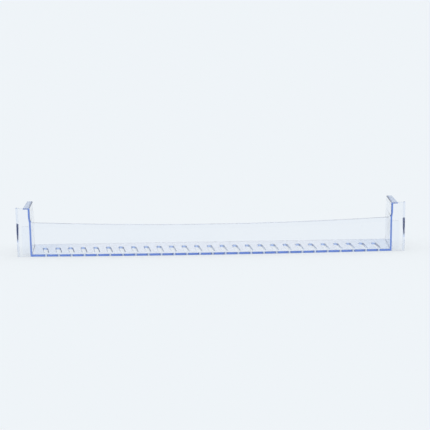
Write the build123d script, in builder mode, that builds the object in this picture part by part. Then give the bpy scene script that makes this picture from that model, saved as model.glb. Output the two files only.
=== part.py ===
import os
from math import cos, radians, sqrt, tan

from build123d import *

# Clear moulded shelf for a refrigerator door, in one piece.
# +X runs along the front, -Y is the front, +Z is up, and it stands on its floor.

# Overall size, mm
overall_width = 457.0  # across the tops of the ears
overall_depth = 100.0  # crown of the front panel to the rear edge
overall_height = 57.0  # tops of the ears
front_bow = 10.0  # how far the front panel bulges over its width

# Walls
panel_thickness = 2.2
floor_thickness = 2.4
wall_thickness = 2.0
draft = 1.6  # outward lean of the end walls and ears, degrees
root_depth = 0.5  # how far the end walls, rims and ribs reach into what carries them
foot_fillet = 0.4  # inside, where the floor meets the walls

# Mouth of the front panel, between the ears
mouth_end_height = 40.2  # top edge beside the ears
mouth_middle_height = 36.2  # top edge at its dip in the middle
mouth_fillet = 4.0  # sweep from the top edge up into each ear
edge_round = 0.7  # front of the top edge, all along
lip_height = 5.0  # thickened band along the top edge
lip_step = 0.6  # how far that band stands into the tray

# Ears: the ends of the front panel, with a skirt turned back at the outer edge
ear_width = 16.4  # from the end wall's inner face to the outer edge, at the top
ear_round = 1.5  # outer vertical corner
ear_step = 0.3  # how far the ear stands out past the end wall's inner face
skirt_thickness = 2.2
skirt_round = 0.8  # inner vertical corner
skirt_depth = 6.0  # from the outer face of the panel

# Catch: a pointed fin behind each skirt, which snaps past the lug
catch_foot = 15.0  # height of its lower end
catch_head = 40.0  # height of its upper end
catch_thickness = 3.0  # at the upper end
catch_tip = 1.3  # thickness at the lower end

# End walls
shoulder_step = 0.85  # the wall sets outward here
shoulder_rise = 5.0  # height over which it does so
wall_drop = 0.3  # top of the wall below the top of the ear
wall_fall = 2.2  # further drop of the top towards the rear
wall_round = 1.0  # inner top edge
rim_thickness = 1.1  # flange along the top of the wall, on its outside
rim_front_width = 5.6
rim_rear_width = 4.4

# Pocket behind each ear, which drops over a lug of the door liner
pocket_depth = 20.0  # from the back of the ear to the guide rib
rib_thickness = 1.6
rib_width = 10.0  # out from the end wall
rib_height = 33.0
rib_round = 3.0

# Drain slots in the floor
slot_pitch = 15.0
slot_width = 5.0
slot_nose = 8.0  # length of the elliptical end of a slot
slot_chamfer = 0.6  # upper edge
slot_lean = 4.3  # turn of each slot about its middle, degrees
slot_side_margin = 13.5  # least distance of a slot's middle from the end wall
slot_front_margin = 11.0  # from the back of the panel
slot_rear_margin = 31.0  # from the rear edge

# Bowed plan of the front panel: a circle through its two ends and its crown
half_width = overall_width / 2
front_y = -overall_depth / 2
rear_y = overall_depth / 2
bow_radius = (half_width**2 + front_bow**2) / (2 * front_bow)
bow_center = (0, front_y + bow_radius)


def panel_y(x, inset=0.0):
    # Y of the bowed panel at x, that far behind its outer face
    return bow_center[1] - sqrt((bow_radius - inset) ** 2 - x**2)


def leaned(foot, height):
    # X of a wall with the common draft
    return foot + height * tan(radians(draft))


def mouth_line(drop=0.0):
    # Control points of the sagging top edge of the panel, that far below it
    middle = 2 * mouth_middle_height - mouth_end_height
    return [(-mouth_half, mouth_end_height - drop), (0, middle - drop), (mouth_half, mouth_end_height - drop)]


# Half of the elevation: X of the end wall's inner face, and of the ear's edges
wall_top = half_width - ear_width
wall_foot = leaned(wall_top - shoulder_step, -overall_height)
mouth_half = leaned(wall_foot, mouth_end_height) + shoulder_step - ear_step
ear_foot = leaned(half_width, -overall_height)
shoulder_top = mouth_end_height + shoulder_rise
wall_head = overall_height - wall_drop
tray_width = 2 * wall_foot
wall_front_y = panel_y(wall_foot, panel_thickness) - root_depth
skirt_y = panel_y(half_width) + skirt_depth

# Hollow behind the front panel and between the skirts
with BuildPart() as front_hollow:
    hollow_top = half_width - skirt_thickness
    hollow_foot = ear_foot - skirt_thickness
    with BuildSketch(Plane.XZ) as hollow_section:
        with BuildLine():
            Polyline(
                (hollow_top, overall_height),
                (hollow_foot, 0),
                (-hollow_foot, 0),
                (-hollow_top, overall_height),
                close=True,
            )
        make_face()
    extrude(amount=overall_depth, both=True)
    with BuildSketch() as hollow_plan:
        with Locations(bow_center):
            Circle(bow_radius - panel_thickness)
        Rectangle(overall_width, overall_depth, mode=Mode.INTERSECT)
    extrude(amount=overall_height, mode=Mode.INTERSECT)
    for side in (-1, 1):
        corner_x = side * (hollow_top + hollow_foot) / 2
        corner = (corner_x, panel_y(corner_x, panel_thickness), overall_height / 2)
        fillet(front_hollow.edges().sort_by_distance(corner)[0], skirt_round)

# Front: bowed panel with its mouth and ears, and a skirt turned back at each end
with BuildPart() as front:
    with BuildSketch(Plane.XZ.offset(-overall_depth)) as front_outline:
        with BuildLine():
            ear = [
                (mouth_half, mouth_end_height),
                (wall_top - ear_step, overall_height),
                (half_width, overall_height),
                (ear_foot, 0),
            ]
            Polyline(*ear, *[(-x, z) for x, z in reversed(ear)])
            Bezier(*mouth_line())
        make_face()
    extrude(amount=2 * overall_depth)
    for side in (-1, 1):
        corner = (side * mouth_half, 0, mouth_end_height)
        fillet(front.edges().sort_by_distance(corner)[0], mouth_fillet)
    with BuildSketch() as front_plan:
        with Locations(bow_center):
            Circle(bow_radius)
        with Locations((0, skirt_y)):
            Rectangle(overall_width, 2 * overall_depth, align=(Align.CENTER, Align.MAX), mode=Mode.INTERSECT)
    extrude(amount=overall_height, mode=Mode.INTERSECT)
    mouth_front = (0, panel_y(0), mouth_middle_height)
    fillet(front.edges().sort_by_distance(mouth_front)[0], edge_round)
    for side in (-1, 1):
        corner_x = side * (half_width + ear_foot) / 2
        corner = (corner_x, panel_y(corner_x), overall_height / 2)
        fillet(front.edges().sort_by_distance(corner)[0], ear_round)
    add(front_hollow.part, mode=Mode.SUBTRACT)

# Catch, right-hand side: a V from the side, and tapering downwards from the front
with BuildPart() as catch:
    catch_reach = (catch_head - catch_foot) / 2
    with BuildSketch(Plane.YZ) as catch_side:
        with BuildLine():
            Polyline(
                (skirt_y - skirt_depth / 2, catch_foot),
                (skirt_y, catch_foot),
                (skirt_y + catch_reach, catch_foot + catch_reach),
                (skirt_y, catch_head),
                (skirt_y - skirt_depth / 2, catch_head),
                close=True,
            )
        make_face()
    extrude(amount=overall_width)
    with BuildSketch(Plane.XZ) as catch_front:
        catch_root = catch_head - catch_thickness
        with BuildLine():
            Polyline(
                (leaned(ear_foot, catch_foot), catch_foot),
                (leaned(ear_foot, catch_head), catch_head),
                (leaned(ear_foot, catch_root) - catch_thickness, catch_root),
                (leaned(ear_foot, catch_foot) - catch_tip, catch_foot),
                close=True,
            )
        make_face()
    extrude(amount=overall_depth, both=True, mode=Mode.INTERSECT)

# Thickened lip along the inside of the panel's top edge
with BuildPart() as front_lip:
    with BuildSketch() as lip_plan:
        with Locations(bow_center):
            Circle(bow_radius - panel_thickness / 2)
            Circle(bow_radius - panel_thickness - lip_step, mode=Mode.SUBTRACT)
        with Locations((0, front_y)):
            Rectangle(overall_width, overall_depth, mode=Mode.INTERSECT)
    extrude(amount=overall_height)
    with BuildSketch(Plane.XZ) as lip_band:
        with BuildLine():
            top_edge = Bezier(*mouth_line())
            low_edge = Bezier(*mouth_line(lip_height))
            Line(top_edge @ 0, low_edge @ 0)
            Line(top_edge @ 1, low_edge @ 1)
        make_face()
    extrude(amount=overall_depth, both=True, mode=Mode.INTERSECT)

# End wall, right-hand side: a leaning section with its shoulder, lower at the rear
with BuildPart() as end_wall:
    inner_face = [
        (wall_foot, 0),
        (leaned(wall_foot, mouth_end_height), mouth_end_height),
        (leaned(wall_foot, shoulder_top) + shoulder_step, shoulder_top),
        (wall_top, overall_height),
    ]
    outer_face = [(x + wall_thickness, z) for x, z in reversed(inner_face)]
    with BuildSketch(Plane.XZ.offset(-wall_front_y)) as wall_section:
        with BuildLine():
            Polyline(*inner_face, *outer_face, close=True)
        make_face()
    extrude(amount=wall_front_y - rear_y)
    with BuildSketch(Plane.YZ) as wall_side:
        with BuildLine():
            Polyline(
                (wall_front_y, 0),
                (rear_y, 0),
                (rear_y, wall_head - wall_fall),
                (wall_front_y, wall_head),
                close=True,
            )
        make_face()
    extrude(amount=overall_width, mode=Mode.INTERSECT)
    top_edge_middle = (wall_top, 0, wall_head - wall_fall / 2)
    fillet(end_wall.edges().sort_by_distance(top_edge_middle)[0], wall_round)

# Rim: a flange that follows the falling top of the end wall and narrows to the rear
with BuildPart() as rim:
    with BuildSketch(Plane.YZ) as rim_side:
        with BuildLine():
            Polyline(
                (wall_front_y, wall_head),
                (rear_y, wall_head - wall_fall),
                (rear_y, wall_head - wall_fall - rim_thickness),
                (wall_front_y, wall_head - rim_thickness),
                close=True,
            )
        make_face()
    extrude(amount=overall_width)
    rim_root = wall_top + wall_thickness
    with BuildSketch() as rim_plan:
        with BuildLine():
            Polyline(
                (rim_root - root_depth, wall_front_y),
                (rim_root + rim_front_width, wall_front_y),
                (rim_root + rim_rear_width, rear_y),
                (rim_root - root_depth, rear_y),
                close=True,
            )
        make_face()
    extrude(amount=overall_height, mode=Mode.INTERSECT)

# Guide rib: the rear side of the pocket behind the ear
with BuildPart() as guide_rib:
    rib_y = panel_y(wall_foot, panel_thickness) + pocket_depth
    rib_root = wall_foot + wall_thickness
    with BuildSketch(Plane.XZ.offset(-rib_y)) as rib_section:
        with BuildLine():
            Polyline(
                (rib_root - root_depth, 0),
                (rib_root + rib_width, 0),
                (leaned(rib_root + rib_width, rib_height), rib_height),
                (leaned(rib_root, rib_height) - root_depth, rib_height),
                close=True,
            )
        make_face()
        fillet(rib_section.vertices().sort_by(Axis.X)[-1], rib_round)
    extrude(amount=-rib_thickness)

# Right-hand end: the wall with its rim and guide rib
with BuildPart() as shelf_end:
    add(end_wall.part)
    add(rim.part)
    add(guide_rib.part)

# The shelf in one piece
with BuildPart() as door_shelf:
    add(front.part)
    with BuildSketch() as floor_plan:
        with Locations(bow_center):
            Circle(bow_radius - panel_thickness / 2)
        Rectangle(tray_width + wall_thickness, overall_depth, mode=Mode.INTERSECT)
    extrude(amount=floor_thickness)

    add(front_lip.part)
    for feature in (catch, shelf_end):
        add(feature.part)
        mirror(feature.part, about=Plane.YZ)

    floor_faces = door_shelf.faces().filter_by(Plane.XY).sort_by(SortBy.AREA)[-2:]
    floor_top = floor_faces.sort_by(Axis.Z)[-1]
    fillet(floor_top.edges().sort_by(Axis.Y)[:-1], foot_fillet)

    with BuildSketch() as slot_plan:
        slot_count = int((tray_width - 2 * slot_side_margin) / slot_pitch) + 1
        for place in range(slot_count):
            slot_x = (place - (slot_count - 1) / 2) * slot_pitch
            near = panel_y(slot_x, panel_thickness) + slot_front_margin
            far = rear_y - slot_rear_margin
            slot_length = (far - near) / cos(radians(slot_lean))
            slot_straight = slot_length - 2 * slot_nose
            with Locations(Location((slot_x, (near + far) / 2, 0), (0, 0, slot_lean))):
                Rectangle(slot_width, slot_straight)
                with Locations((0, slot_straight / 2), (0, -slot_straight / 2)):
                    Ellipse(slot_width / 2, slot_nose)
    extrude(amount=floor_thickness, mode=Mode.SUBTRACT)
    floor_faces = door_shelf.faces().filter_by(Plane.XY).sort_by(SortBy.AREA)[-2:]
    slot_rims = floor_faces.sort_by(Axis.Z)[-1].inner_wires()
    chamfer(slot_rims.edges(), slot_chamfer)

os.makedirs("parts", exist_ok=True)
door_shelf.part.label = "door_shelf"
export_step(door_shelf.part, "parts/door_shelf.step")
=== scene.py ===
import math

import bmesh
import bpy
from mathutils import Matrix, Vector


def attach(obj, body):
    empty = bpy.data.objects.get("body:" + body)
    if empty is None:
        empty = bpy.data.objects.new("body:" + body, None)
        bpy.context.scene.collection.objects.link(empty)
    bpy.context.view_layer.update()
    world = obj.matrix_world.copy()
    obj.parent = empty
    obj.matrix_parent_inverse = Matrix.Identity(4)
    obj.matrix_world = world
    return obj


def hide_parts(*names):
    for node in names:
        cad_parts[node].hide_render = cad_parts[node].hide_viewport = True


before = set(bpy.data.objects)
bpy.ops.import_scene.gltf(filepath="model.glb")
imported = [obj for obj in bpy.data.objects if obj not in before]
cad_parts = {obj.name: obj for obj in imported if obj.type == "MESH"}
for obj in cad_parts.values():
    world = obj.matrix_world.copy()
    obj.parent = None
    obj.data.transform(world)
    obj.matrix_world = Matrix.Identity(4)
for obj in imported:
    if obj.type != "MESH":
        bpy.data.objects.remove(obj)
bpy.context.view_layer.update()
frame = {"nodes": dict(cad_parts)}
scene = bpy.context.scene
print("frame loaded:", ", ".join(frame["nodes"]))

# Clear shelf: a welded, smooth-shaded copy of the moulding
shelfLook = {
    "weld": 0.000002,  # metres
    "sharpAngle": 33,  # degrees; steeper edges stay crisp
    "faceWeight": 100,  # the broadest face sets the shading
    "tintLight": (1.0, 1.0, 1.0, 1),
    "tintDeep": (0.98, 0.987, 1.0, 1),
    "flowScale": 14,  # melt flow, long and soft
    "flowDetail": 1,
    "waveStrength": 0.3,
    "waveHeight": 0.00004,
    "hazeScale": 160,  # handling haze
    "hazeDetail": 4,
    "hazeRange": (0.35, 0.75),
    "roughness": (0.02, 0.06),
    "refraction": 1.58,  # polystyrene
    "depthColor": (0.09, 0.36, 0.82, 1),
    "depthDensity": 22.0,  # per metre
}


def addNode(tree, kind, place, **sets):
    node = tree.nodes.new(kind)
    node.location = place
    for name, value in sets.items():
        setattr(node, name, value)
    return node


def setRange(node, given, wanted=(0, 1)):
    node.inputs["From Min"].default_value, node.inputs["From Max"].default_value = given
    node.inputs["To Min"].default_value, node.inputs["To Max"].default_value = wanted


def makeClearPlastic(look):
    mat = bpy.data.materials.new("clearBluePlastic")
    mat.use_nodes = True
    tree = mat.node_tree
    tree.nodes.clear()
    link = tree.links.new
    coord = addNode(tree, "ShaderNodeTexCoord", (-1100, 0))
    flow = addNode(tree, "ShaderNodeTexNoise", (-850, 200))
    flow.inputs["Scale"].default_value = look["flowScale"]
    flow.inputs["Detail"].default_value = look["flowDetail"]
    haze = addNode(tree, "ShaderNodeTexNoise", (-850, -50))
    haze.inputs["Scale"].default_value = look["hazeScale"]
    haze.inputs["Detail"].default_value = look["hazeDetail"]
    tint = addNode(tree, "ShaderNodeMix", (-500, 250), data_type="RGBA")
    tint.inputs["A"].default_value = look["tintDeep"]
    tint.inputs["B"].default_value = look["tintLight"]
    rough = addNode(tree, "ShaderNodeMapRange", (-500, 0))
    setRange(rough, look["hazeRange"], look["roughness"])
    wave = addNode(tree, "ShaderNodeBump", (-500, -300))
    wave.inputs["Strength"].default_value = look["waveStrength"]
    wave.inputs["Distance"].default_value = look["waveHeight"]
    plastic = addNode(tree, "ShaderNodeBsdfPrincipled", (-150, 100))
    plastic.inputs["Metallic"].default_value = 0
    plastic.inputs["Transmission Weight"].default_value = 1
    plastic.inputs["IOR"].default_value = look["refraction"]
    depth = addNode(tree, "ShaderNodeVolumeAbsorption", (-150, -400))
    depth.inputs["Color"].default_value = look["depthColor"]
    depth.inputs["Density"].default_value = look["depthDensity"]
    out = addNode(tree, "ShaderNodeOutputMaterial", (200, 0))
    link(coord.outputs["Object"], flow.inputs["Vector"])
    link(coord.outputs["Object"], haze.inputs["Vector"])
    link(flow.outputs["Fac"], tint.inputs["Factor"])
    link(haze.outputs["Fac"], rough.inputs["Value"])
    link(flow.outputs["Fac"], wave.inputs["Height"])
    link(tint.outputs["Result"], plastic.inputs["Base Color"])
    link(rough.outputs["Result"], plastic.inputs["Roughness"])
    link(wave.outputs["Normal"], plastic.inputs["Normal"])
    link(plastic.outputs["BSDF"], out.inputs["Surface"])
    link(depth.outputs["Volume"], out.inputs["Volume"])
    return mat


def makeShelf(look):
    source = frame["nodes"]["door_shelf"]
    bm = bmesh.new()
    bm.from_mesh(source.data)
    bmesh.ops.remove_doubles(bm, verts=bm.verts, dist=look["weld"])
    for face in bm.faces:
        face.smooth = True
        face.material_index = 0
    for edge in bm.edges:
        edge.smooth = edge.calc_face_angle(0) < math.radians(look["sharpAngle"])
    mesh = bpy.data.meshes.new("clearShelf")
    bm.to_mesh(mesh)
    bm.free()
    shelf = bpy.data.objects.new("clearShelf", mesh)
    scene.collection.objects.link(shelf)
    mesh.materials.append(makeClearPlastic(look))
    even = shelf.modifiers.new("evenNormals", "WEIGHTED_NORMAL")
    even.mode = "FACE_AREA"
    even.weight = look["faceWeight"]
    even.keep_sharp = True
    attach(shelf, "root")
    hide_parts("door_shelf")
    print("shelf:", len(mesh.polygons), "faces")


makeShelf(shelfLook)

# Pale floor
floorSet = {
    "half": 12.0,  # metres
    "drop": 0.0002,  # clear of the shelf's underside
    "color": (0.87, 0.905, 0.925, 1),
    "glow": 1.0,
    "glowShare": 0.7,  # the rest is lit, and keeps the shadow
}


def makeFloor(values):
    bm = bmesh.new()
    bmesh.ops.create_grid(bm, x_segments=1, y_segments=1, size=values["half"])
    mesh = bpy.data.meshes.new("paleFloor")
    bm.to_mesh(mesh)
    bm.free()
    floor = bpy.data.objects.new("paleFloor", mesh)
    scene.collection.objects.link(floor)
    floor.location.z = -values["drop"]
    mat = bpy.data.materials.new("palePaper")
    mat.use_nodes = True
    tree = mat.node_tree
    tree.nodes.clear()
    link = tree.links.new
    paper = addNode(tree, "ShaderNodeBsdfDiffuse", (-300, 150))
    paper.inputs["Color"].default_value = values["color"]
    glow = addNode(tree, "ShaderNodeEmission", (-300, 0))
    glow.inputs["Color"].default_value = values["color"]
    glow.inputs["Strength"].default_value = values["glow"]
    rays = addNode(tree, "ShaderNodeLightPath", (-900, -200))
    shown = addNode(tree, "ShaderNodeMath", (-700, -150), operation="MAXIMUM")
    seen = addNode(tree, "ShaderNodeMath", (-500, -200), operation="MAXIMUM")
    share = addNode(tree, "ShaderNodeMath", (-300, -200), operation="MULTIPLY")
    share.inputs[1].default_value = values["glowShare"]
    mixed = addNode(tree, "ShaderNodeMixShader", (-50, 0))
    out = addNode(tree, "ShaderNodeOutputMaterial", (150, 0))
    link(rays.outputs["Is Camera Ray"], shown.inputs[0])
    link(rays.outputs["Is Glossy Ray"], shown.inputs[1])
    link(shown.outputs[0], seen.inputs[0])
    link(rays.outputs["Is Transmission Ray"], seen.inputs[1])
    link(seen.outputs[0], share.inputs[0])
    link(share.outputs[0], mixed.inputs["Fac"])
    link(paper.outputs["BSDF"], mixed.inputs[1])
    link(glow.outputs["Emission"], mixed.inputs[2])
    link(mixed.outputs["Shader"], out.inputs["Surface"])
    mesh.materials.append(mat)


makeFloor(floorSet)
print("floor made")

# Soft studio light: a dome, brightest overhead, dim along the horizon and on the camera's side
lightSet = {
    "overhead": (1.24, 1.24, 1.24, 1),
    "back": (0.88, 0.91, 0.96, 1),
    "flank": (0.66, 0.76, 0.91, 1),
    "horizon": (0.0, 0.04, 0.22, 1),
    "aside": (0.034, 0.056),  # from back to flank, as the X of a direction
    "middle": 0.009,  # X of the middle of the back
    "rise": (0.04, 0.085),  # from horizon up, as the Z of a direction
    "front": (0.012, 0.022, 0.12, 1),  # dark room on the camera's side
    "turn": (-0.97, -0.5),  # from front to back, as the Y of a direction
}


def makeDome(values):
    world = bpy.data.worlds.new("softDome")
    scene.world = world
    world.use_nodes = True
    tree = world.node_tree
    tree.nodes.clear()
    link = tree.links.new
    coord = addNode(tree, "ShaderNodeTexCoord", (-900, 0))
    parts = addNode(tree, "ShaderNodeSeparateXYZ", (-700, 0))
    rise = addNode(tree, "ShaderNodeMapRange", (-500, 400), interpolation_type="SMOOTHSTEP")
    setRange(rise, values["rise"])
    off = addNode(tree, "ShaderNodeMath", (-900, 300), operation="SUBTRACT")
    off.inputs[1].default_value = values["middle"]
    away = addNode(tree, "ShaderNodeMath", (-700, 300), operation="ABSOLUTE")
    aside = addNode(tree, "ShaderNodeMapRange", (-500, 700), interpolation_type="SMOOTHSTEP")
    setRange(aside, values["aside"])
    behind = addNode(tree, "ShaderNodeMix", (-300, 600), data_type="RGBA")
    behind.inputs["A"].default_value = values["back"]
    behind.inputs["B"].default_value = values["flank"]
    low = addNode(tree, "ShaderNodeMix", (-100, 450), data_type="RGBA")
    low.inputs["A"].default_value = values["horizon"]
    sky = addNode(tree, "ShaderNodeMix", (-100, 200), data_type="RGBA")
    sky.inputs["B"].default_value = values["overhead"]
    side = addNode(tree, "ShaderNodeMapRange", (-500, -150), interpolation_type="SMOOTHSTEP")
    setRange(side, values["turn"])
    room = addNode(tree, "ShaderNodeMix", (0, 200), data_type="RGBA")
    room.inputs["A"].default_value = values["front"]
    light = addNode(tree, "ShaderNodeBackground", (-100, 0))
    out = addNode(tree, "ShaderNodeOutputWorld", (100, 0))
    link(coord.outputs["Generated"], parts.inputs["Vector"])
    link(parts.outputs["X"], off.inputs[0])
    link(off.outputs[0], away.inputs[0])
    link(away.outputs[0], aside.inputs["Value"])
    link(aside.outputs["Result"], behind.inputs["Factor"])
    link(behind.outputs["Result"], low.inputs["B"])
    link(parts.outputs["Z"], rise.inputs["Value"])
    link(rise.outputs["Result"], low.inputs["Factor"])
    link(low.outputs["Result"], sky.inputs["A"])
    link(parts.outputs["Z"], sky.inputs["Factor"])
    link(parts.outputs["Y"], side.inputs["Value"])
    link(sky.outputs["Result"], room.inputs["B"])
    link(side.outputs["Result"], room.inputs["Factor"])
    link(room.outputs["Result"], light.inputs["Color"])
    link(light.outputs["Background"], out.inputs["Surface"])


makeDome(lightSet)
print("light made")

# Camera: long lens, a little above, slightly rolled
cameraSet = {
    "distance": 3.852,  # metres
    "lens": 272.11,  # mm
    "sensor": 36,
    "clipEnd": 100,
    "elevation": 7.058,  # degrees
    "yaw": 0.665,
    "roll": -0.854,
    "aside": 0.00498,
    "raised": 0.04034,
}


def makeCamera(values):
    el, yaw, roll = (math.radians(values[k]) for k in ("elevation", "yaw", "roll"))
    ahead = Vector((math.sin(yaw) * math.cos(el), math.cos(yaw) * math.cos(el), -math.sin(el)))
    level = Vector((math.cos(yaw), -math.sin(yaw), 0))
    right = level * math.cos(roll) + level.cross(ahead) * math.sin(roll)
    up = right.cross(ahead)
    eye = -ahead * values["distance"] + right * values["aside"] + up * values["raised"]
    turn = Matrix((right, up, -ahead)).transposed().to_4x4()
    data = bpy.data.cameras.new("productCamera")
    data.lens = values["lens"]
    data.sensor_width = values["sensor"]
    data.clip_end = values["clipEnd"]
    camera = bpy.data.objects.new("productCamera", data)
    scene.collection.objects.link(camera)
    camera.matrix_world = Matrix.Translation(eye) @ turn
    scene.camera = camera


makeCamera(cameraSet)
print("camera made")

# Light paths long enough for the clear plastic seen end-on
bounceSet = {"max": 32, "transmission": 32, "glossy": 16}
scene.view_settings.view_transform = "Standard"
scene.cycles.max_bounces = bounceSet["max"]
scene.cycles.transmission_bounces = bounceSet["transmission"]
scene.cycles.glossy_bounces = bounceSet["glossy"]
print("paths set")
